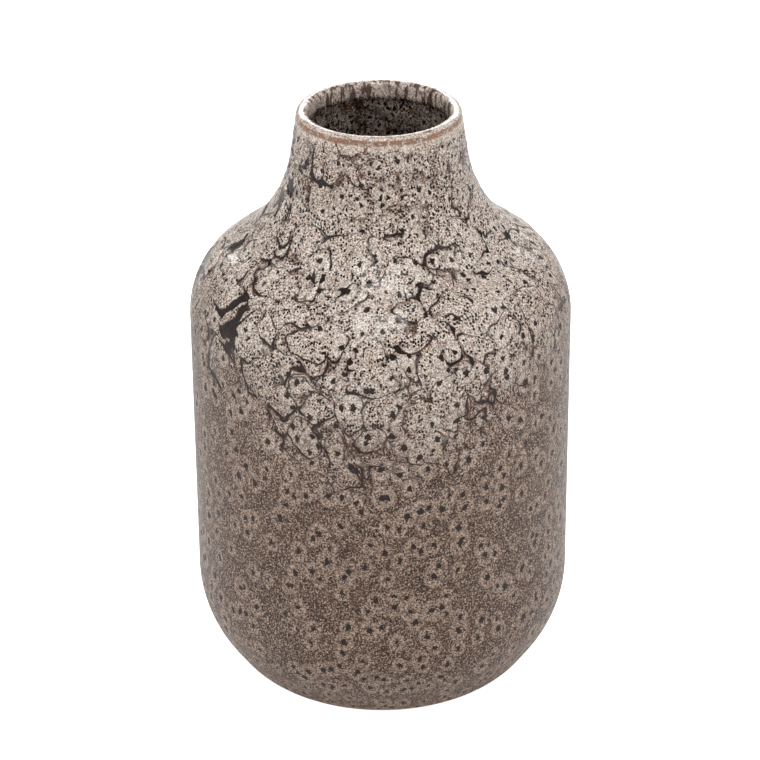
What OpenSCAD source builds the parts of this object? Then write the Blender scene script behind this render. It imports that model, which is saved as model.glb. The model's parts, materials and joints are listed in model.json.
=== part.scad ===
// A bottle-shaped stoneware vase with a round shoulder and a short flared neck.
// It is one turned shape. The fired clay and each coat of glaze on it are a solid of their own, and
// they meet face to face. The coats outside go over the lip and end at the crease below it, where those
// inside begin. The vase stands on z = 0 and turns about the Z axis.

/* [Vessel] */
// Overall height
height = 192; // [160:1:231]
// Diameter of the belly, over the glaze
body_d = 120; // [100:1:144]
// Diameter across the outside of the lip, over the glaze
lip_d = 51; // [42:1:62]
// Height of the shoulder and neck together, from the end of the straight wall up to the lip
top_h = 67; // [60:1:80]

/* [Shoulder and neck] */
// Radius of the shoulder
shoulder_round = 26; // [21:0.5:31.5]
// Lean of the neck at the lip, in degrees from upright
neck_lean = 8.5; // [6:0.5:11]
// Length of the straight part of the neck, under the lip
neck_straight = 13; // [10:0.5:16]

/* [Foot] */
// Radius of the curve that takes the wall in towards the foot
belly_round = 40; // [33:0.5:48]
// Turn of that curve, in degrees
belly_turn = 35; // [29:0.5:42]
// Length of the straight slope between that curve and the heel
heel_flat = 5.6; // [4:0.2:8]
// Radius of the heel
heel_round = 20; // [16:0.5:25]
// Slope of the heel where it would reach the table, in degrees from upright
heel_turn = 76; // [70:0.5:82]
// How far the bare edge of the foot slopes in, from the glaze line down to the table
foot_bevel = 2.8; // [2:0.1:4]
// Width of the ring that the vase stands on
foot_land = 5; // [4:0.5:8]
// Depth of the hollow under the base
foot_recess = 1.6; // [1:0.1:2.4]

/* [Clay] */
// Thickness of the clay in the belly
belly_wall = 3.4; // [2.8:0.1:4.2]
// Thickness of the clay in the neck and lip
neck_wall = 2.4; // [2:0.1:2.9]
// Thickness of the clay floor
floor_wall = 4.2; // [3.4:0.1:5.4]
// Height of the upright band inside the lip
lip_land = 3.5; // [2.8:0.1:4.5]

/* [Glaze] */
// Thickness of the brown base glaze, inside and out
base_coat = 0.25; // [0.2:0.05:0.35]
// Thickness of the cream glaze over it
cream_coat = 0.4; // [0.3:0.05:0.5]
// Height above the table at which the base glaze was wiped off the foot
glaze_line = 1.8; // [1.4:0.1:2.4]
// How much higher the cream glaze stops
cream_margin = 0.9; // [0.5:0.1:1.5]
// Depth that the cream glaze reaches inside the throat, below the lip
throat_depth = 34; // [28:1:40]

/* [Hidden] */

// Angle between the points of a curve, and the faces round the axis
arc_step = 4;
$fn = 180;

coats = base_coat + cream_coat;
body_r = body_d / 2;
wall_top = height - top_h;
floor_z = foot_recess + floor_wall;

// The lip is a half round about lip_c. Its clay is half a neck wall in radius and its glaze two coats more.
lip_clay_r = neck_wall / 2;
lip_r = lip_clay_r + coats;
lip_c = [lip_d / 2 - lip_r, height - lip_r];

// The neck runs straight down from the lip to neck_start, and then sweeps out about neck_c. The sweep's
// radius is the one at which it meets the shoulder's curve without a break.
neck_out = [cos(neck_lean), sin(neck_lean)];
neck_down = [sin(neck_lean), -cos(neck_lean)];
neck_start = lip_c + lip_r * neck_out + neck_straight * neck_down;
shoulder_c = [body_r - shoulder_round, wall_top];
shoulder_to_neck = neck_start - shoulder_c;
neck_sweep = (shoulder_to_neck * shoulder_to_neck - pow(shoulder_round, 2))
    / (2 * (shoulder_round - shoulder_to_neck * neck_out));
neck_c = neck_start + neck_sweep * neck_out;
centres = neck_c - shoulder_c;

// The wall curves in about belly_c, slopes, and rounds the heel about heel_c. The heel reaches the table.
belly_out = [cos(belly_turn), -sin(belly_turn)];
belly_down = [-sin(belly_turn), -cos(belly_turn)];
heel_c = [
    body_r - belly_round + (belly_round - heel_round) * belly_out[0] + heel_flat * belly_down[0],
    heel_round * sin(heel_turn)
];
wall_foot = heel_c[1] - (belly_round - heel_round) * belly_out[1] - heel_flat * belly_down[1];
belly_c = [body_r - belly_round, wall_foot];

// Points of an arc about c from angle from to angle to
function arc(c, r, from, to) =
    let (n = max(1, ceil(abs(to - from) / arc_step)))
    [for (i = [0:n]) let (a = from + (to - from) * i / n) c + r * [cos(a), sin(a)]];

// Angle of the heel at height z, on the surface that lies depth inside the finished one
function heel_angle(depth, z) = asin(min(1, (heel_c[1] - z) / (heel_round - depth)));

// Slope at which the shoulder passes into the neck, where each has its own depth
function meeting(belly_depth, neck_depth) =
    atan2(centres[1], centres[0])
    - acos(min(1, (shoulder_round - belly_depth + neck_sweep + neck_depth) / norm(centres)));

// The foot end of the surface that lies depth inside the finished one, from height z up to the wall
function lower_curve(depth, z) = concat(
    arc(heel_c, heel_round - depth, -heel_angle(depth, z), -belly_turn),
    arc(belly_c, belly_round - depth, -belly_turn, 0)
);

// The shoulder and neck of that surface, from the wall up to where the neck has the slope end
function upper_curve(belly_depth, neck_depth, end) =
    let (slope = meeting(belly_depth, neck_depth))
    concat(
        arc(shoulder_c, shoulder_round - belly_depth, 0, slope),
        arc(neck_c, neck_sweep + neck_depth, 180 + slope, 180 + end)
    );

// The crease inside the lip, under glaze of thickness cover. A short slope leads to it from the upright band,
// and the throat starts below it.
function crease(cover) =
    let (
        r = lip_clay_r + cover,
        drop = (lip_land * tan(neck_lean) - r * (1 / cos(neck_lean) - 1)) / (1 - tan(neck_lean))
    )
    lip_c + [drop - r, -lip_land - drop];

// The outside, depth below the finished surface, from height z up, over the lip and down to the crease
function outside(depth, z) = concat(
    lower_curve(depth, z),
    upper_curve(depth, depth, neck_lean),
    arc(lip_c, lip_r - depth, neck_lean, 90),
    arc(lip_c, lip_r - depth, 90, 180),
    [lip_c + [depth - lip_r, -lip_land], crease(coats - depth)]
);

// The inside under glaze of thickness cover, from the middle of the floor up to the crease
function inside(cover) = concat(
    [[0, floor_z + cover]],
    lower_curve(coats + belly_wall + cover, floor_z + cover),
    upper_curve(coats + belly_wall + cover, lip_r + lip_clay_r + cover, neck_lean),
    [crease(cover)]
);

// The part of a line above height z, from the point at which it crosses that height
function above(line, z) =
    let (
        kept = [for (p = line) if (p[1] > z) p],
        from = line[len(line) - len(kept) - 1],
        share = (z - from[1]) / (kept[0][1] - from[1])
    )
    concat([from + (kept[0] - from) * share], kept);

// A solid of revolution between two lines that run the same way
module turned(outer, inner) {
    rotate_extrude()
        polygon(concat(outer, [for (i = [len(inner) - 1:-1:0]) inner[i]]));
}

// The fired clay: wall, floor and lip in one piece, and the foot, which is bare below the glaze line. Its
// outside and inside meet at the crease.
module clay_body() {
    wall = outside(coats, glaze_line);
    foot_r = wall[0][0] - foot_bevel;
    recess_r = foot_r - foot_land;
    foot = [[0, foot_recess], [recess_r - foot_recess, foot_recess], [recess_r, 0], [foot_r, 0]];
    color("tan")
        turned(concat(foot, wall), inside(0));
}

module base_glaze_outside() {
    color([0.2, 0.13, 0.1])
        turned(outside(cream_coat, glaze_line), outside(coats, glaze_line));
}

module base_glaze_inside() {
    color([0.2, 0.13, 0.1])
        turned(inside(0), inside(base_coat));
}

module cream_glaze_outside() {
    cream_line = glaze_line + cream_margin;
    color([0.75, 0.7, 0.65])
        turned(
            above(outside(0, glaze_line), cream_line),
            above(outside(cream_coat, glaze_line), cream_line)
        );
}

module cream_glaze_throat() {
    throat_z = height - throat_depth;
    color([0.75, 0.7, 0.65])
        turned(above(inside(base_coat), throat_z), above(inside(coats), throat_z));
}

clay_body();
base_glaze_outside();
base_glaze_inside();
cream_glaze_outside();
cream_glaze_throat();
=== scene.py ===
"""A bottle-shaped stoneware vase in a cratered cream glaze over brown, in a plain light tent."""
import json
import math
from collections import namedtuple

import bpy
from mathutils import Matrix, Vector


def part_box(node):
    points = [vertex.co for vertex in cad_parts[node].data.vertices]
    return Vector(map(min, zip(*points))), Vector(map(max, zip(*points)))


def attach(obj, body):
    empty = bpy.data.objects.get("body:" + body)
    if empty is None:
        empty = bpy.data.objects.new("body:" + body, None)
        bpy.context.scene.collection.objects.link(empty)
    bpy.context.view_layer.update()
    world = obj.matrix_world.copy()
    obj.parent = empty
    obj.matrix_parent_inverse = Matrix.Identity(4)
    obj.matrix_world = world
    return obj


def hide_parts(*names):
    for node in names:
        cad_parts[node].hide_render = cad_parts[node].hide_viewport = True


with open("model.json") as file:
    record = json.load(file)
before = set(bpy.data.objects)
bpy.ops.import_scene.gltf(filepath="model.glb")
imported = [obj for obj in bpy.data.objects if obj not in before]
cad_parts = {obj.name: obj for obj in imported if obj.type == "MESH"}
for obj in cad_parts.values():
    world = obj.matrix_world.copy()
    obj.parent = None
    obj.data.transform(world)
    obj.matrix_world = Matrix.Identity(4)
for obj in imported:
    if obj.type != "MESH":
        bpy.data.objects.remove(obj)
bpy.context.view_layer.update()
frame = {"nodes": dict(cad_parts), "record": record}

# ---------------------------------------------------------------- sizes, in metres and degrees
MM = 0.001
glaze_low, glaze_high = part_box("cream_glaze_outside")
throat_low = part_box("cream_glaze_throat")[0]
mouth = next(m for m in frame["record"]["mounts"] if m["name"] == "mouth")

HEIGHT = glaze_high.z
BELLY_R = glaze_high.x
MOUTH_R = mouth["dims"]["r_mm"] * MM
LIP_LAND = mouth["dims"]["length_mm"] * MM
LIP_R = 1.85 * MM
TOP_H = 67 * MM
SHOULDER_ROUND = 26 * MM
NECK_LEAN = 8.5
NECK_STRAIGHT = 13 * MM
BELLY_ROUND = 40 * MM
BELLY_TURN = 35
HEEL_FLAT = 5.6 * MM
HEEL_ROUND = 20 * MM
HEEL_TURN = 76
BASE_COAT = 0.25 * MM
CREAM_COAT = 0.4 * MM
COATS = BASE_COAT + CREAM_COAT
SMOOTH_TOP = 90 * MM  # the glaze has little relief below this height
LIP_STEP = 0.5 * MM  # from point to point round the lip


# ---------------------------------------------------------------- the outline of the vase
def along(angle, length=1.0):
    """A step of that length in the XZ plane, at an angle in degrees from +X towards +Z."""
    return Vector((math.cos(math.radians(angle)), math.sin(math.radians(angle)))) * length


lip_c = Vector((MOUTH_R + LIP_R, HEIGHT - LIP_R))
shoulder_c = Vector((BELLY_R - SHOULDER_ROUND, HEIGHT - TOP_H))
neck_start = lip_c + along(NECK_LEAN, LIP_R) + along(NECK_LEAN - 90, NECK_STRAIGHT)
rise = neck_start - shoulder_c
neck_sweep = (rise.length_squared - SHOULDER_ROUND**2) / (2 * (SHOULDER_ROUND - rise.dot(along(NECK_LEAN))))
neck_c = neck_start + along(NECK_LEAN, neck_sweep)
from_shoulder_to_neck = neck_c - shoulder_c
neck_slope = math.degrees(math.atan2(from_shoulder_to_neck.y, from_shoulder_to_neck.x))
from_belly_to_heel = along(-BELLY_TURN, BELLY_ROUND - HEEL_ROUND) + along(-BELLY_TURN - 90, HEEL_FLAT)
belly_c = Vector((BELLY_R - BELLY_ROUND, along(HEEL_TURN, HEEL_ROUND).y - from_belly_to_heel.y))
heel_c = belly_c + from_belly_to_heel

# A stroke of the outline: an arc about a centre between two angles, with a point at about every step. A
# stroke of no radius is a corner, and strokes that don't meet are joined by a straight line.
Stroke = namedtuple("Stroke", "centre radius start end step")


def corner(where, step):
    return Stroke(where, 0, 0, 0, step)


def lower_strokes(depth, step):
    """The heel, from the glaze's lower edge up, and the curve above it, that much inside the surface."""
    start = math.degrees(math.asin((heel_c.y - glaze_low.z) / (HEEL_ROUND - depth)))
    return [
        Stroke(heel_c, HEEL_ROUND - depth, -start, -BELLY_TURN, step),
        Stroke(belly_c, BELLY_ROUND - depth, -BELLY_TURN, 0, step),
    ]


def upper_strokes(depth, step):
    """The shoulder, and the neck up to its straight part, that much inside the surface."""
    return [
        Stroke(shoulder_c, SHOULDER_ROUND - depth, 0, neck_slope, step),
        Stroke(neck_c, neck_sweep + depth, 180 + neck_slope, 180 + NECK_LEAN, step),
    ]


def crease(cover):
    """Where the step below the lip's upright band meets the throat, under glaze of thickness cover."""
    r = LIP_R - COATS + cover
    lean = math.radians(NECK_LEAN)
    drop = (LIP_LAND * math.tan(lean) - r * (1 / math.cos(lean) - 1)) / (1 - math.tan(lean))
    return lip_c + Vector((drop - r, -LIP_LAND - drop))


def outside(depth, wall_step, neck_step):
    """The strokes of the outside, from the glaze's lower edge up, over the lip and down to the crease."""
    return [
        *lower_strokes(depth, wall_step),
        corner(Vector((BELLY_R - depth, SMOOTH_TOP)), wall_step),
        *upper_strokes(depth, neck_step),
        Stroke(lip_c, LIP_R - depth, NECK_LEAN, 180, LIP_STEP),
        corner(lip_c + Vector((depth - LIP_R, -LIP_LAND)), neck_step),
        corner(crease(COATS - depth), neck_step),
    ]


def throat(cover, step):
    """The strokes of the throat under glaze of thickness cover, up to the crease."""
    reach = neck_sweep + 2 * LIP_R - COATS + cover
    start = math.degrees(math.asin((neck_c.y - throat_low.z) / reach))
    return [Stroke(neck_c, reach, 180 + start, 180 + NECK_LEAN, step), corner(crease(cover), step)]


def backwards(strokes):
    return [stroke._replace(start=stroke.end, end=stroke.start) for stroke in reversed(strokes)]


# ---------------------------------------------------------------- turning a piece from its outline
SHORTEST = 1e-7
SAME_PLACE = 1e-6
SHARP_EDGE = 50


def pen_down(name, where):
    """A new mesh of one point, in edit mode."""
    bpy.ops.object.select_all(action="DESELECT")
    bpy.ops.mesh.primitive_plane_add(size=MM)
    piece = bpy.context.object
    piece.name = piece.data.name = name
    bpy.ops.object.mode_set(mode="EDIT")
    bpy.ops.mesh.merge(type="CENTER")
    bpy.ops.transform.translate(value=(where.x, 0, where.y))
    return piece


def draw(stroke, at):
    """Draws on from the point at: straight to the stroke's start, then round its arc. Returns its end."""
    gap = stroke.centre + along(stroke.start, stroke.radius) - at
    if gap.length > SHORTEST:
        steps = max(1, round(gap.length / stroke.step))
        for _ in range(steps):
            bpy.ops.mesh.extrude_region_move(
                TRANSFORM_OT_translate={"value": (gap.x / steps, 0, gap.y / steps)})
    turn = math.radians(stroke.end - stroke.start)
    length = abs(turn) * stroke.radius
    if length > SHORTEST:
        steps = max(2, round(length / stroke.step))
        middle = (stroke.centre.x, 0, stroke.centre.y)
        bpy.ops.mesh.spin(steps=steps, angle=turn, center=middle, axis=(0, 1, 0))
    return stroke.centre + along(stroke.end, stroke.radius)


def turned(name, face, back, around):
    """A closed piece turned from two rows of strokes. The points of the first are in the group "face"."""
    start = face[0].centre + along(face[0].start, face[0].radius)
    piece = pen_down(name, start)
    at = start
    for stroke in face:
        at = draw(stroke, at)
    piece.update_from_editmode()
    face_points = len(piece.data.vertices)
    for stroke in back:
        at = draw(stroke, at)
    draw(corner(start, back[-1].step), at)
    bpy.ops.object.mode_set(mode="OBJECT")
    piece.vertex_groups.new(name="face").add(list(range(face_points)), 1.0, "ADD")
    bpy.ops.object.mode_set(mode="EDIT")
    bpy.ops.mesh.select_all(action="SELECT")
    bpy.ops.mesh.remove_doubles(threshold=SAME_PLACE)
    bpy.ops.mesh.spin(steps=around, angle=math.tau, center=(0, 0, 0), axis=(0, 0, 1))
    bpy.ops.mesh.select_all(action="SELECT")
    bpy.ops.mesh.remove_doubles(threshold=SAME_PLACE)
    bpy.ops.mesh.normals_make_consistent(inside=False)
    bpy.ops.object.mode_set(mode="OBJECT")
    bpy.ops.object.shade_smooth_by_angle(angle=math.radians(SHARP_EDGE))
    return piece


# ---------------------------------------------------------------- nodes
NUMBER, VECTOR, GEOMETRY = "NodeSocketFloat", "NodeSocketVector", "NodeSocketGeometry"
ACROSS, DEEP, UP = (1.0, 0.0, 0.0), (0.0, 1.0, 0.0), (0.0, 0.0, 1.0)
LEVEL = (1.0, 1.0, 0.0)


def feed(tree, socket, value):
    """Gives a socket a value, or links another node's output to it. None leaves it as it is."""
    if isinstance(value, bpy.types.NodeSocket):
        tree.links.new(value, socket)
    elif value is not None:
        socket.default_value = value


def put(tree, kind, *values, **settings):
    """A new node of that kind, with its settings and then its inputs in order."""
    node = tree.nodes.new(kind)
    node.location = (180 * len(tree.nodes), 0)
    for name, value in settings.items():
        setattr(node, name, value)
    for socket, value in zip(node.inputs, values):
        feed(tree, socket, value)
    return node


def calc(tree, operation, *values):
    return put(tree, "ShaderNodeMath", *values, operation=operation).outputs[0]


def product(tree, first, *others):
    for value in others:
        first = calc(tree, "MULTIPLY", first, value)
    return first


def vector(tree, operation, *values):
    """A sum on vectors that gives a vector."""
    return put(tree, "ShaderNodeVectorMath", *values, operation=operation).outputs[0]


def measure(tree, operation, *values):
    """A sum on vectors that gives a number."""
    return put(tree, "ShaderNodeVectorMath", *values, operation=operation).outputs[1]


def part(tree, value, axis):
    """One part of a vector: ACROSS its x, DEEP its y, UP its z."""
    return measure(tree, "DOT_PRODUCT", value, axis)


def off_axis(tree, where):
    """How far a point is from the vase's axis."""
    return measure(tree, "LENGTH", vector(tree, "MULTIPLY", where, LEVEL))


def in_mm(tree, where):
    return vector(tree, "MULTIPLY", where, (1 / MM, 1 / MM, 1 / MM))


def combine(tree, x, y, z=0.0):
    return put(tree, "ShaderNodeCombineXYZ", x, y, z).outputs[0]


def fade(tree, value, low, high, to_low=0.0, to_high=1.0):
    """A smooth step from to_low, where value is low, to to_high, where it is high."""
    values = (value, low, high, to_low, to_high)
    return put(tree, "ShaderNodeMapRange", *values, interpolation_type="SMOOTHSTEP").outputs[0]


def choose(tree, pick, first, second):
    """The first value, or the second where pick is 1."""
    return put(tree, "ShaderNodeMix", pick, None, first, second, data_type="FLOAT").outputs[0]


def lumps(tree, where, size, detail, roughness):
    """A noise node whose lumps are about size wide, in the units of where."""
    node = put(tree, "ShaderNodeTexNoise", where)
    node.inputs["Scale"].default_value = 1 / size
    node.inputs["Detail"].default_value = detail
    node.inputs["Roughness"].default_value = roughness
    return node


def noise(tree, where, size, detail=2.0, roughness=0.5):
    """A value about 0.5 that rises and falls over lumps of that size."""
    return lumps(tree, where, size, detail, roughness).outputs[0]


def shake(tree, where, start, size, detail, reach):
    """The place start, pushed off by up to half of reach along each axis, over lumps of that size."""
    push = vector(tree, "SUBTRACT", lumps(tree, where, size, detail, 0.5).outputs[1], (0.5, 0.5, 0.5))
    return vector(tree, "ADD", start, vector(tree, "MULTIPLY", push, (reach, reach, reach)))


def cells(tree, where, dimensions="3D", randomness=1.0):
    """A node that finds the nearest of a scatter of points, about one in each unit of where."""
    node = put(tree, "ShaderNodeTexVoronoi", where, voronoi_dimensions=dimensions)
    node.inputs["Scale"].default_value = 1.0
    node.inputs["Randomness"].default_value = randomness
    return node


def new_group(name, tree_type, inputs, outputs):
    """An empty node group with sockets of those kinds. Returns the tree, its inputs and its output node."""
    tree = bpy.data.node_groups.new(name, tree_type)
    for label, kind in inputs.items():
        tree.interface.new_socket(label, in_out="INPUT", socket_type=kind)
    for label, kind in outputs.items():
        tree.interface.new_socket(label, in_out="OUTPUT", socket_type=kind)
    return tree, tree.nodes.new("NodeGroupInput").outputs, tree.nodes.new("NodeGroupOutput")


def give(tree, out, **values):
    """Links values to the sockets of those names on a group's output node."""
    for name, value in values.items():
        tree.links.new(value, out.inputs[name])


def place(tree, group, **values):
    """A group in a tree, with values for its inputs."""
    kind = {"ShaderNodeTree": "ShaderNodeGroup", "GeometryNodeTree": "GeometryNodeGroup"}[tree.bl_idname]
    node = tree.nodes.new(kind)
    node.location = (180 * len(tree.nodes), -300)
    node.node_tree = group
    for name, value in values.items():
        feed(tree, node.inputs[name], value)
    return node


# ---------------------------------------------------------------- the lobes of the glaze, in millimetres
# Lobes and pits are laid out on sheets that wrap the vase, where u goes round it and s up it. Each coat of
# them has a front and a back sheet for each of three bands: the belly, the shoulder and the neck. A lobe
# that would cross the edge of its sheet is left out, and since each coat has its edges elsewhere, the other
# coats cover the place.
BELLY_BAND, SHOULDER_BAND, NECK_BAND = 57.0, 43.0, 28.0  # the radius at which each band is unrolled
SHOULDER_FROM, NECK_FROM = 148.0, 176.0  # how far up the shoulder's band and the neck's band begin
SHOULDER_LOBES, NECK_LOBES = 0.95, 0.72  # how large their lobes are beside those of the belly
MID_HEIGHT = 80.0  # the wall slopes in as it goes up from here, and as it goes down
SLOPE_SHARE = 0.6  # how much of the way that the wall slopes in counts as a way up or down
EDGE_ROOM = 2.0  # the room that a lobe keeps from the edge of its sheet
SHEET_SHIFT = 370.0  # how far apart in the scatter of centres the sheets are taken from
LOOSENESS = 0.85  # 0 would set the centres in rows, and 1 would scatter them freely
FAR = 100.0  # the distance that stands for no lobe

# The coats of lobes, from the lowest to the uppermost, and the two coats of pits
LOBE_COATS = [
    {"Spacing": 12.0, "Shift": 0.0, "Heading": 1.5, "Lift": 0.0},
    {"Spacing": 11.0, "Shift": 31.0, "Heading": 0.4, "Lift": 9.0},
    {"Spacing": 10.0, "Shift": 73.0, "Heading": 2.6, "Lift": -9.0},
]
LOBE_SHAPE = {"Squeeze": 0.8, "Smallest": 0.4, "Spread": 0.2}
PIT_COATS = [
    {"Spacing": 7.4, "Shift": 113.0, "Heading": 0.9, "Lift": 5.0},
    {"Spacing": 7.9, "Shift": 151.0, "Heading": 2.1, "Lift": -6.0},
]
PIT_SHAPE = {"Squeeze": 0.78, "Smallest": 0.25, "Spread": 0.18}


def lobe_group(tree_type):
    """The lobe nearest to a place: how far off it is, its radius, and how far the place is above it."""
    tree, given, out = new_group(
        "glaze_lobe_" + tree_type[:4], tree_type,
        {"Place": VECTOR, "Spacing": NUMBER, "Squeeze": NUMBER, "Smallest": NUMBER, "Spread": NUMBER,
         "Shift": NUMBER, "Heading": NUMBER, "Lift": NUMBER},
        {"Distance": NUMBER, "Radius": NUMBER, "Rise": NUMBER})
    x, y, z = (part(tree, given["Place"], axis) for axis in (ACROSS, DEEP, UP))
    inset = calc(tree, "SUBTRACT", BELLY_R / MM, off_axis(tree, given["Place"]))
    way_up = calc(tree, "SIGN", calc(tree, "SUBTRACT", z, MID_HEIGHT))
    s = calc(tree, "MULTIPLY_ADD", calc(tree, "MULTIPLY", inset, SLOPE_SHARE), way_up, z)
    # the band that the place is in
    low_edge = calc(tree, "ADD", given["Lift"], SHOULDER_FROM)
    high_edge = calc(tree, "ADD", given["Lift"], NECK_FROM)
    past_low = calc(tree, "GREATER_THAN", s, low_edge)
    past_high = calc(tree, "GREATER_THAN", s, high_edge)
    radius = choose(tree, past_high, choose(tree, past_low, BELLY_BAND, SHOULDER_BAND), NECK_BAND)
    scale = choose(tree, past_high, choose(tree, past_low, 1.0, SHOULDER_LOBES), NECK_LOBES)
    # the way round, from the middle of the front or back sheet
    cosine, sine = calc(tree, "COSINE", given["Heading"]), calc(tree, "SINE", given["Heading"])
    side = calc(tree, "MULTIPLY_ADD", x, cosine, calc(tree, "MULTIPLY", y, sine))
    front = calc(tree, "SUBTRACT", calc(tree, "MULTIPLY", x, sine), calc(tree, "MULTIPLY", y, cosine))
    sheet = calc(tree, "SIGN", front)
    angle = calc(tree, "ARCTAN2", calc(tree, "MULTIPLY", side, sheet), calc(tree, "MULTIPLY", front, sheet))
    u = calc(tree, "MULTIPLY", angle, radius)
    # the nearest centre
    spacing = calc(tree, "MULTIPLY", given["Spacing"], scale)
    step = combine(tree, spacing, calc(tree, "DIVIDE", spacing, given["Squeeze"]), 1.0)
    across = calc(tree, "MULTIPLY_ADD", calc(tree, "ADD", sheet, past_low), SHEET_SHIFT, given["Shift"])
    shift = combine(tree, across, given["Shift"])
    spaced = vector(tree, "DIVIDE", vector(tree, "ADD", combine(tree, u, s), shift), step)
    found = cells(tree, spaced, "2D", LOOSENESS).outputs
    centre = vector(tree, "SUBTRACT", vector(tree, "MULTIPLY", found["Position"], step), shift)
    chance = part(tree, found["Color"], ACROSS)
    size = calc(tree, "MULTIPLY_ADD", chance, given["Spread"], given["Smallest"])
    reach = calc(tree, "MULTIPLY", size, spacing)
    # whether it keeps clear of the sheet's edges
    room = calc(tree, "ADD", calc(tree, "DIVIDE", reach, given["Squeeze"]), EDGE_ROOM)
    centre_u = calc(tree, "ABSOLUTE", part(tree, centre, ACROSS))
    centre_s = part(tree, centre, DEEP)
    side_edge = calc(tree, "MULTIPLY", radius, math.pi / 2)
    clear = calc(tree, "LESS_THAN", calc(tree, "ADD", centre_u, room), side_edge)
    for edge in (low_edge, high_edge):
        off = calc(tree, "ABSOLUTE", calc(tree, "SUBTRACT", centre_s, edge))
        clear = calc(tree, "MULTIPLY", clear, calc(tree, "GREATER_THAN", off, room))
    distance = calc(tree, "MULTIPLY", found["Distance"], spacing)
    distance = calc(tree, "MULTIPLY_ADD", calc(tree, "SUBTRACT", 1.0, clear), FAR, distance)
    give(tree, out, Distance=distance, Radius=reach, Rise=calc(tree, "SUBTRACT", s, centre_s))
    return tree


# ---------------------------------------------------------------- the crater glaze, in millimetres
# Heights between which the glaze changes
THICKENS = (108.0, 174.0)  # from the thin glaze of the belly to the thick glaze above
RUNS = (118.0, 142.0)  # above, the glaze is thick enough for its lobes to have run
SHOULDER_RISE = (126.0, 150.0)
PUDDLES = (106.0, 126.0)
PITTED_NECK = (152.0, 174.0)
THIN_NECK = (160.0, 176.0)
CALM_NECK = (162.0, 174.0)
SMOOTH_LIP = (186.0, 188.2)
# where the lip gets more cream, which also serves as a painted highlight along its crest
LIP_CREAM_AND_HIGHLIGHT = (187.0, 190.0)
GLOSSY_LIP = (188.0, 190.0)
LIP_RUST_LOW, LIP_RUST_HIGH = 189.1, 190.9  # the rust-brown band on the lip
# the foot's thin glaze over the clay, lightened with a painted glow of light from the floor
FOOT_CLAY_AND_GLOW = (3.2, 5.4)

EDGE_WANDER = 40.0  # how far the edge of the thick glaze goes up and down
FRONT_REACH = 36.0  # how much lower it is at the front and back than at the sides
SHOULDER_REACH = 20.0  # how much more the shoulder has of it than its height would give
WIDE_TEAR = (-45.0, -37.0, 134.0)  # about where the widest tears are, on the left of the shoulder
WIDE_TEAR_REACH = (9.0, 15.0)
TEAR_WIDTH, PUDDLE_WIDTH = 0.95, 2.8
PUDDLE_SHIFT = (40.0, 7.0, 3.0)  # keeps the puddles' noise from following the tears'
SHADOW_WIDTH = 3.2  # how far the stain reaches under a lobe
DOME_WIDTH = 2.4  # how far in from its edge a lobe has its full height
LOBE_HEIGHT, TEAR_DEPTH, PIT_DEPTH, GREATEST_DEPTH = 0.22, 0.3, 0.25, 0.36
PINHOLE_GAPS = (0.82, 0.82, 0.95)
PATTERN_OUT = ("Tear", "Line", "Stain", "Pit", "Pinhole", "Cream", "Thickness", "Height")


def glaze_level(tree, mm, z):
    """The height, as moved up or down by what makes the glaze thicker or thinner at a place."""
    cloud = calc(tree, "SUBTRACT", noise(tree, mm, 14.0), 0.5)
    outward = vector(tree, "NORMALIZE", vector(tree, "MULTIPLY", mm, LEVEL))
    facing = calc(tree, "POWER", calc(tree, "ABSOLUTE", part(tree, outward, DEEP)), 2.0)
    level = calc(tree, "MULTIPLY_ADD", facing, FRONT_REACH, z)
    level = calc(tree, "MULTIPLY_ADD", cloud, EDGE_WANDER, level)
    return calc(tree, "ADD", level, fade(tree, z, *SHOULDER_RISE, 0.0, SHOULDER_REACH))


def gap_width(tree, mm, z, torn):
    """How wide the gap under a lobe is: mostly narrow, wide in puddles, and widest on the left shoulder."""
    puddle = fade(tree, noise(tree, vector(tree, "ADD", mm, PUDDLE_SHIFT), 11.0, 0.0), 0.54, 0.64)
    puddle = calc(tree, "MULTIPLY", puddle, fade(tree, z, *PUDDLES))
    wide = fade(tree, measure(tree, "DISTANCE", mm, WIDE_TEAR), *WIDE_TEAR_REACH, 1.0, 0.0)
    puddle = calc(tree, "MAXIMUM", puddle, wide)
    return calc(tree, "MULTIPLY_ADD", puddle, PUDDLE_WIDTH, calc(tree, "MULTIPLY", torn, TEAR_WIDTH))


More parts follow.
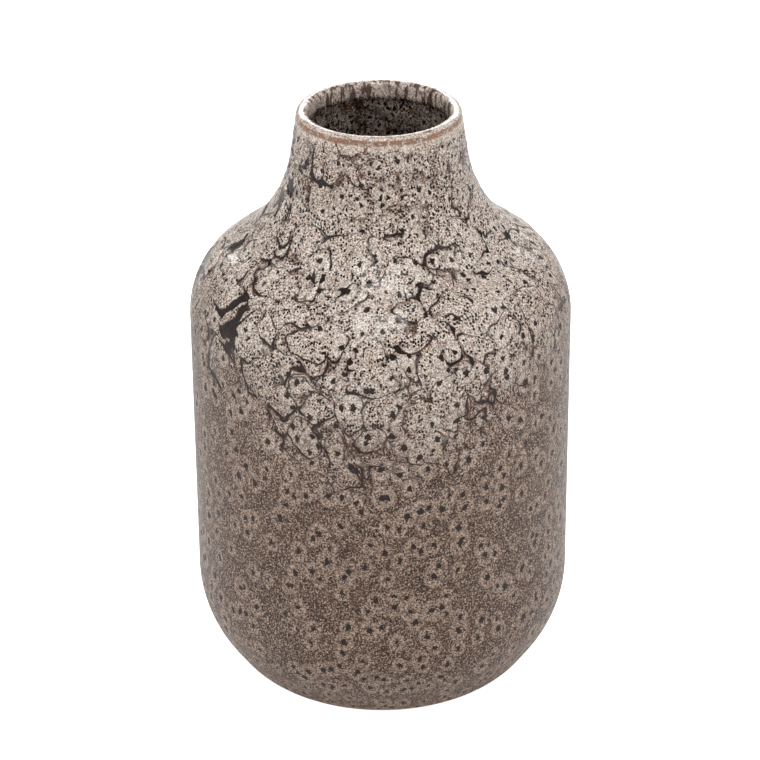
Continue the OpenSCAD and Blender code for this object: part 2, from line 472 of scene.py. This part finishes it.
def run_lobes(tree, mm, lobes, gap, amount, run_down, grain):
    """Lobes that have run down over one another, with a gap torn open under some of them.

    Returns the tears, the outlines, the stain below each lobe and the height of the lobes.
    """
    run = shake(tree, mm, mm, size=9.0, detail=0.0, reach=10.0)
    run = shake(tree, mm, run, size=3.6, detail=0.0, reach=3.4)
    tear, line, stain, dome = 0.0, 0.0, 0.0, 0.0
    for coat in LOBE_COATS:
        lobe = place(tree, lobes, Place=run, **LOBE_SHAPE, **coat).outputs
        edge = calc(tree, "SUBTRACT", lobe["Radius"], lobe["Distance"])
        under = fade(tree, calc(tree, "DIVIDE", lobe["Rise"], lobe["Radius"]), -0.3, 0.8, 1.0, 0.2)
        width = product(tree, gap, under, amount)
        ragged = product(tree, calc(tree, "SUBTRACT", grain, 0.5), calc(tree, "MULTIPLY", width, 1.6))
        past = calc(tree, "ADD", calc(tree, "ADD", edge, width), ragged)
        bare = calc(tree, "SUBTRACT", 1.0, fade(tree, edge, -0.08, 0.12))
        open_gap = calc(tree, "MULTIPLY", fade(tree, past, 0.0, 0.3), bare)
        tear = calc(tree, "MAXIMUM", calc(tree, "MULTIPLY", tear, bare), open_gap)
        outline = fade(tree, calc(tree, "ABSOLUTE", edge), 0.12, 0.5, 1.0, 0.0)
        line = calc(tree, "MAXIMUM", calc(tree, "MULTIPLY", line, bare), outline)
        shadow = product(tree, fade(tree, edge, -SHADOW_WIDTH, 0.0), bare, under, run_down)
        stain = calc(tree, "MAXIMUM", calc(tree, "MULTIPLY", stain, bare), shadow)
        crown = fade(tree, edge, 0.0, DOME_WIDTH)
        dome = calc(tree, "MAXIMUM", calc(tree, "MULTIPLY", dome, bare), crown)
    return tear, line, stain, dome


def ringed_pits(tree, mm, z, lobes, grain):
    """Pits, each in a smooth halo with a ring round it. There are more of them on the neck."""
    where = shake(tree, mm, mm, size=1.3, detail=1.0, reach=1.7)
    more = fade(tree, z, *PITTED_NECK, 0.0, 0.75)
    pit, halo, ring = 0.0, 0.0, 0.0
    for coat in PIT_COATS:
        found = place(tree, lobes, Place=where, **PIT_SHAPE, **coat).outputs
        share = calc(tree, "DIVIDE", found["Distance"], found["Radius"])
        ragged_share = calc(tree, "MULTIPLY_ADD", grain, 0.3, share)
        large = fade(tree, calc(tree, "ADD", found["Radius"], more), 2.05, 2.3)
        hollow = fade(tree, ragged_share, 0.4, 0.5, 1.0, 0.0)
        pit = calc(tree, "MAXIMUM", pit, calc(tree, "MULTIPLY", hollow, large))
        rim = fade(tree, calc(tree, "ABSOLUTE", calc(tree, "SUBTRACT", share, 1.0)), 0.05, 0.2, 1.0, 0.0)
        ring = calc(tree, "MAXIMUM", ring, calc(tree, "MULTIPLY", rim, large))
        inside_rim = fade(tree, share, 0.9, 1.1, 1.0, 0.0)
        off_middle = fade(tree, share, 0.45, 0.8, 0.45, 1.0)
        halo = calc(tree, "MAXIMUM", halo, product(tree, inside_rim, off_middle, large))
    return pit, halo, ring


def pinholes(tree, mm, halo, thick):
    """Pinholes, which crowd together in patches, and less in a halo or where the glaze is thin."""
    hole = cells(tree, vector(tree, "MULTIPLY", mm, tuple(1 / gap for gap in PINHOLE_GAPS))).outputs
    crowd = product(
        tree, fade(tree, noise(tree, mm, 4.0, 1.0), 0.3, 0.58, 0.34, 0.63),
        fade(tree, halo, 0.0, 1.0, 1.0, 0.7), fade(tree, thick, 0.0, 0.7, 0.78, 1.0))
    open_r = calc(tree, "MULTIPLY", calc(tree, "POWER", part(tree, hole["Color"], ACROSS), 0.5), crowd)
    return fade(tree, calc(tree, "SUBTRACT", hole["Distance"], open_r), -0.1, 0.02, 1.0, 0.0)


def glaze_group(tree_type):
    """The crater glaze: where it tears, pits and thins, and how high it stands, from a place in metres."""
    tree, given, out = new_group(
        "crater_glaze_" + tree_type[:4], tree_type, {"Place": VECTOR, "Cover": NUMBER},
        dict.fromkeys(PATTERN_OUT, NUMBER))
    mm = in_mm(tree, given["Place"])
    z = part(tree, mm, UP)
    lobes = lobe_group(tree_type)
    level = glaze_level(tree, mm, z)
    thick = calc(tree, "MULTIPLY", fade(tree, level, *THICKENS), fade(tree, z, *THIN_NECK, 1.0, 0.8))
    run_down = fade(tree, level, *RUNS)
    grain = noise(tree, mm, 0.58, 2.0, 0.75)
    torn = fade(tree, noise(tree, mm, 10.0, 1.0), 0.36, 0.62, 0.12, 1.0)
    amount = calc(tree, "MULTIPLY", run_down, fade(tree, z, *CALM_NECK, 1.0, 0.4))
    gap = gap_width(tree, mm, z, torn)
    tear, line, stain, dome = run_lobes(tree, mm, lobes, gap, amount, run_down, grain)
    pit, halo, ring = ringed_pits(tree, mm, z, lobes, grain)
    line = calc(tree, "MAXIMUM", calc(tree, "MULTIPLY", line, amount), calc(tree, "MULTIPLY", ring, 0.4))
    pinhole = pinholes(tree, mm, halo, thick)
    # where the cream covers the brown under it
    cover = calc(tree, "MULTIPLY_ADD", thick, 0.1, calc(tree, "ADD", grain, given["Cover"]))
    cover = calc(tree, "MULTIPLY_ADD", halo, 0.1, calc(tree, "SUBTRACT", cover, 0.035))
    cover = calc(tree, "MULTIPLY_ADD", calc(tree, "MULTIPLY", stain, torn), -0.14, cover)
    # more cream on the lip: partly cream glaze, partly a painted highlight that whitens the crest
    cover = calc(tree, "ADD", cover, fade(tree, z, *LIP_CREAM_AND_HIGHLIGHT, 0.0, 0.08))
    cream = fade(tree, cover, 0.46, 0.54)
    # the relief
    height = product(tree, calc(tree, "SUBTRACT", dome, 1.0), calc(tree, "MULTIPLY", run_down, LOBE_HEIGHT))
    height = calc(tree, "MULTIPLY_ADD", tear, -TEAR_DEPTH, height)
    height = calc(tree, "MULTIPLY_ADD", pit, -PIT_DEPTH, height)
    height = calc(tree, "MAXIMUM", height, -GREATEST_DEPTH)
    # the lip is smooth
    below_lip = fade(tree, z, *SMOOTH_LIP, 1.0, 0.0)
    tear, line, pit, height, pinhole = (
        calc(tree, "MULTIPLY", value, below_lip) for value in (tear, line, pit, height, pinhole))
    give(tree, out, Tear=tear, Line=line, Stain=stain, Pit=pit, Pinhole=pinhole, Cream=cream,
         Thickness=thick, Height=height)
    return tree


def raise_glaze(piece, pattern):
    """Gives the face of a coat the relief of its glaze."""
    tree, given, out = new_group(
        piece.name + "_relief", "GeometryNodeTree", {"Geometry": GEOMETRY}, {"Geometry": GEOMETRY})
    where = tree.nodes.new("GeometryNodeInputPosition").outputs[0]
    normal = tree.nodes.new("GeometryNodeInputNormal").outputs[0]
    face = put(tree, "GeometryNodeInputNamedAttribute", "face", data_type="FLOAT").outputs["Attribute"]
    height = place(tree, pattern, Place=where).outputs["Height"]
    shift = put(tree, "ShaderNodeVectorMath", normal, operation="SCALE")
    feed(tree, shift.inputs["Scale"], product(tree, height, MM, face))
    moved = put(tree, "GeometryNodeSetPosition", given["Geometry"])
    feed(tree, moved.inputs["Offset"], shift.outputs[0])
    give(tree, out, Geometry=moved.outputs[0])
    modifier = piece.modifiers.new("relief", "NODES")
    modifier.node_group = tree
    bpy.ops.object.select_all(action="DESELECT")
    bpy.context.view_layer.objects.active = piece
    piece.select_set(True)
    bpy.ops.object.modifier_apply(modifier=modifier.name)


# ---------------------------------------------------------------- finishes
def colour(red, green, blue):
    """A colour given as it shows on a screen, 0 to 255, as the linear values that a shader takes."""
    shown = [channel / 255 for channel in (red, green, blue)]
    linear = [c / 12.92 if c <= 10 / 255 else ((c + 0.055) / 1.055) ** 2.4 for c in shown]
    return (*linear, 1.0)


def blend(tree, amount, first, second):
    """A colour that goes from first to second."""
    node = put(tree, "ShaderNodeMix", amount, data_type="RGBA")
    feed(tree, node.inputs[6], first)
    feed(tree, node.inputs[7], second)
    return node.outputs[2]


def new_finish(name):
    """A new material. Returns it, its tree, its Principled shader and the place in the piece."""
    finish = bpy.data.materials.new(name)
    finish.use_nodes = True
    tree = finish.node_tree
    shader = tree.nodes["Principled BSDF"]
    where = put(tree, "ShaderNodeTexCoord").outputs["Object"]
    return finish, tree, shader, where


def fine_relief(tree, shader, height, strength=1.0):
    """Relief too fine for the mesh, with its height in millimetres."""
    bump = put(tree, "ShaderNodeBump")
    bump.inputs["Distance"].default_value = MM
    bump.inputs["Strength"].default_value = strength
    feed(tree, bump.inputs["Height"], height)
    feed(tree, shader.inputs["Normal"], bump.outputs[0])


def crater_glaze(name, pattern, cover, shade):
    """The cream glaze over the brown. Cover is how much more of it there is, and the last argument dims all
    its colours, as painted shade.
    """
    finish, tree, shader, where = new_finish(name)
    glaze = place(tree, pattern, Place=where, Cover=cover).outputs
    mm = in_mm(tree, where)
    z = part(tree, mm, UP)
    patch = noise(tree, mm, 7.0, 3.0)
    speck = fade(tree, noise(tree, mm, 0.45, 1.0), 0.35, 0.65)

    # every colour below is dimmed by the last argument, as painted shade where it is below 1
    def tone(red, green, blue):
        return colour(red * shade, green * shade, blue * shade)

    brown = blend(tree, fade(tree, patch, 0.35, 0.65), tone(58, 37, 25), tone(84, 58, 42))
    brown = blend(tree, glaze["Thickness"], brown, tone(116, 78, 56))
    cream = blend(tree, speck, tone(182, 158, 142), tone(255, 246, 236))
    thin_cream = blend(tree, speck, tone(128, 103, 87), tone(208, 184, 165))
    coat = blend(tree, glaze["Cream"], brown, blend(tree, glaze["Thickness"], thin_cream, cream))
    rusty = calc(tree, "MULTIPLY", glaze["Stain"], fade(tree, noise(tree, mm, 4.0), 0.4, 0.62, 0.0, 0.6))
    coat = blend(tree, rusty, coat, tone(90, 57, 49))
    outline = calc(tree, "MULTIPLY", glaze["Line"], fade(tree, patch, 0.35, 0.6, 0.35, 0.9))
    coat = blend(tree, outline, coat, tone(64, 42, 32))
    # the lip, where the glaze ran thin: a rust-brown band outside it and dark streaks inside
    lip_middle = lip_c.x / MM
    outer = fade(tree, off_axis(tree, mm), lip_middle, lip_middle + 0.6)
    broken = noise(tree, mm, 1.3)
    band_low = fade(tree, z, LIP_RUST_LOW, LIP_RUST_LOW + 0.7)
    band_high = fade(tree, z, LIP_RUST_HIGH, LIP_RUST_HIGH + 0.3, 1.0, 0.0)
    band = product(tree, band_low, band_high, outer, fade(tree, broken, 0.34, 0.56, 0.3, 0.95))
    rust = blend(tree, fade(tree, broken, 0.45, 0.65), tone(122, 78, 54), tone(172, 126, 96))
    coat = blend(tree, band, coat, rust)
    streak = noise(tree, vector(tree, "MULTIPLY", mm, (1.0, 1.0, 0.25)), 1.4, 1.0)
    inner_band = fade(tree, z, LIP_RUST_LOW - 4.0, LIP_RUST_LOW - 3.0)
    inner = calc(tree, "MULTIPLY", calc(tree, "SUBTRACT", 1.0, outer), inner_band)
    streaks = calc(tree, "MULTIPLY", inner, fade(tree, streak, 0.5, 0.62, 0.0, 0.85))
    coat = blend(tree, streaks, coat, tone(74, 48, 42))
    # at the foot the glaze runs thin over the clay, and the colour there is made lighter than the clay as a
    # painted glow of light bounced up from the floor
    coat = blend(tree, fade(tree, z, *FOOT_CLAY_AND_GLOW, 0.95, 0.0), coat, tone(244, 196, 168))
    # the brown glaze under it all
    coat = blend(tree, glaze["Tear"], coat, tone(38, 22, 16))
    coat = blend(tree, glaze["Pinhole"], coat, tone(30, 14, 8))
    coat = blend(tree, glaze["Pit"], coat, tone(36, 19, 12))
    feed(tree, shader.inputs["Base Color"], coat)
    shader.inputs["Specular IOR Level"].default_value = 0.4
    rough = fade(tree, glaze["Thickness"], 0.0, 1.0, 0.36, 0.24)
    rough = calc(tree, "MULTIPLY_ADD", glaze["Tear"], -0.12, rough)
    rough = calc(tree, "MULTIPLY", rough, fade(tree, z, *GLOSSY_LIP, 1.0, 0.5))
    feed(tree, shader.inputs["Roughness"], rough)
    fine = calc(tree, "MULTIPLY_ADD", glaze["Pinhole"], -0.12, calc(tree, "MULTIPLY", patch, 0.3))
    fine = calc(tree, "ADD", fine, calc(tree, "MULTIPLY", glaze["Height"], 0.8))
    fine_relief(tree, shader, fine, 0.6)
    return finish


def plain_glaze(name, dark, light, rough):
    """A smooth brown glaze that pools darker in places."""
    finish, tree, shader, where = new_finish(name)
    mm = in_mm(tree, where)
    pool = fade(tree, noise(tree, mm, 6.0, 4.0), 0.3, 0.7)
    feed(tree, shader.inputs["Base Color"], blend(tree, pool, dark, light))
    feed(tree, shader.inputs["Roughness"], fade(tree, pool, 0.0, 1.0, rough, rough + 0.12))
    fine_relief(tree, shader, calc(tree, "MULTIPLY", noise(tree, mm, 2.5), 0.12))
    return finish


def bare_clay():
    """Fired clay, matt, with dark grains of grog in it."""
    finish, tree, shader, where = new_finish("bare_stoneware")
    mm = in_mm(tree, where)
    tone = fade(tree, noise(tree, mm, 9.0, 4.0), 0.3, 0.7)
    clay = blend(tree, tone, colour(170, 134, 116), colour(196, 164, 146))
    grain = cells(tree, vector(tree, "DIVIDE", mm, (0.9, 0.9, 0.9))).outputs["Distance"]
    grog = calc(tree, "MULTIPLY", fade(tree, grain, 0.12, 0.2, 1.0, 0.0), 0.6)
    feed(tree, shader.inputs["Base Color"], blend(tree, grog, clay, colour(92, 64, 52)))
    feed(tree, shader.inputs["Roughness"], fade(tree, tone, 0.0, 1.0, 0.72, 0.85))
    fine_relief(tree, shader, calc(tree, "MULTIPLY", noise(tree, mm, 0.6, 3.0), 0.12))
    return finish


# ---------------------------------------------------------------- the pieces
AROUND, THROAT_AROUND = 380, 180  # faces round each coat
shader_pattern = glaze_group("ShaderNodeTree")
relief_pattern = glaze_group("GeometryNodeTree")
cream_finish = crater_glaze("crater_glaze_outside", shader_pattern, cover=0.0, shade=1.0)
# the throat's copy of this glaze has its colours dimmed to 0.8 as painted shade inside the neck
throat_finish_painted_shade = crater_glaze("crater_glaze_throat_painted_shade", shader_pattern, cover=-0.02, shade=0.8)
base_finish = plain_glaze("iron_brown_glaze", colour(38, 26, 22), colour(62, 42, 34), rough=0.12)
clay_finish = bare_clay()


def cream_coat_outside():
    face = outside(0, wall_step=2 * MM, neck_step=0.85 * MM)
    back = outside(CREAM_COAT, wall_step=8 * MM, neck_step=5 * MM)
    piece = turned("cream_glaze_coat", face, backwards(back), AROUND)
    raise_glaze(piece, relief_pattern)
    piece.data.materials.append(cream_finish)
    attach(piece, "root")
    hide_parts("cream_glaze_outside")


def cream_coat_throat():
    face = throat(COATS, step=0.8 * MM)
    back = throat(BASE_COAT, step=4 * MM)
    piece = turned("cream_throat_coat", face, backwards(back), THROAT_AROUND)
    raise_glaze(piece, relief_pattern)
    piece.data.materials.append(throat_finish_painted_shade)
    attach(piece, "root")
    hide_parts("cream_glaze_throat")


cream_coat_outside()
cream_coat_throat()
for node, finish in (
    ("clay_body", clay_finish),
    ("base_glaze_outside", base_finish),
    ("base_glaze_inside", base_finish),
):
    cad = frame["nodes"][node]
    cad.data.materials.clear()
    cad.data.materials.append(finish)


# ---------------------------------------------------------------- floor, light and camera
def white_floor():
    bpy.ops.object.select_all(action="DESELECT")
    bpy.ops.mesh.primitive_plane_add(size=6, location=(0, 0, 0))
    floor = bpy.context.object
    floor.name = "floor"
    finish, tree, shader, _ = new_finish("white_paper")
    shader.inputs["Base Color"].default_value = (0.85, 0.85, 0.85, 1)
    shader.inputs["Roughness"].default_value = 0.9
    shader.inputs["Emission Color"].default_value = (1, 1, 1, 1)
    seen = put(tree, "ShaderNodeLightPath").outputs["Is Camera Ray"]
    feed(tree, shader.inputs["Emission Strength"], fade(tree, seen, 0.0, 1.0, 0.12, 1.0))
    floor.data.materials.append(finish)


def light_tent():
    """Bright at both sides, dimmer elsewhere, with a bright strip low behind. The camera sees white."""
    world = bpy.data.worlds.new("light_tent")
    bpy.context.scene.world = world
    world.use_nodes = True
    tree = world.node_tree
    background = tree.nodes["Background"]
    direction = put(tree, "ShaderNodeTexCoord").outputs["Generated"]
    x, y, z = (part(tree, direction, axis) for axis in (ACROSS, DEEP, UP))
    sides = fade(tree, calc(tree, "ABSOLUTE", x), 0.7, 0.95, 0.33, 0.66)
    behind = fade(tree, y, 0.1, 0.6, 1.0, 0.5)
    strip = calc(tree, "MULTIPLY", fade(tree, y, 0.7, 0.85), fade(tree, z, 0.2, 0.35, 0.0, 7.0))
    tent = calc(tree, "MAXIMUM", calc(tree, "MULTIPLY", sides, behind), strip)
    seen = put(tree, "ShaderNodeLightPath").outputs["Is Camera Ray"]
    background.inputs["Color"].default_value = (1, 1, 1, 1)
    feed(tree, background.inputs["Strength"], calc(tree, "MAXIMUM", seen, tent))


def softbox(name, heading, height, distance, width, length, power):
    """A soft light aimed at the shoulder. Its heading is in degrees from the front round to the right."""
    turn, up = math.radians(heading), math.radians(height)
    target = Vector((0, 0, HEIGHT - TOP_H))
    ray = Vector((math.sin(turn) * math.cos(up), -math.cos(turn) * math.cos(up), math.sin(up)))
    bpy.ops.object.light_add(type="AREA", location=target + ray * distance)
    lamp = bpy.context.object
    lamp.name = name
    lamp.rotation_euler = ray.to_track_quat("Z", "Y").to_euler()
    lamp.data.shape = "RECTANGLE"
    lamp.data.size, lamp.data.size_y = width, length
    lamp.data.energy = power


CAMERA_HEIGHT = 26.54
CAMERA_DISTANCE = 0.954
CAMERA_TARGET = Vector((-0.00033, 0, 0.09896))
CAMERA_ROLL = -0.47
CAMERA_LENS = 141.5
CAMERA_SENSOR = 36


def camera():
    bpy.ops.object.camera_add()
    cam = bpy.context.object
    cam.data.lens = CAMERA_LENS
    cam.data.sensor_width = CAMERA_SENSOR
    cam.data.clip_start = 0.05
    cam.data.clip_end = 20
    up = math.radians(CAMERA_HEIGHT)
    eye = CAMERA_TARGET + Vector((0, -math.cos(up), math.sin(up))) * CAMERA_DISTANCE
    tilt = Matrix.Rotation(math.radians(90) - up, 4, "X")
    roll = Matrix.Rotation(math.radians(CAMERA_ROLL), 4, "Z")
    cam.matrix_world = Matrix.Translation(eye) @ (tilt @ roll)
    bpy.context.scene.camera = cam


white_floor()
light_tent()
softbox("overhead_light", heading=0, height=66, distance=1.1, width=0.5, length=0.4, power=4.6)
softbox("left_light", heading=-75, height=35, distance=1.3, width=0.6, length=0.9, power=1.9)
softbox("right_light", heading=75, height=35, distance=1.3, width=0.6, length=0.9, power=2.0)
camera()
bpy.context.scene.view_settings.view_transform = "Standard"
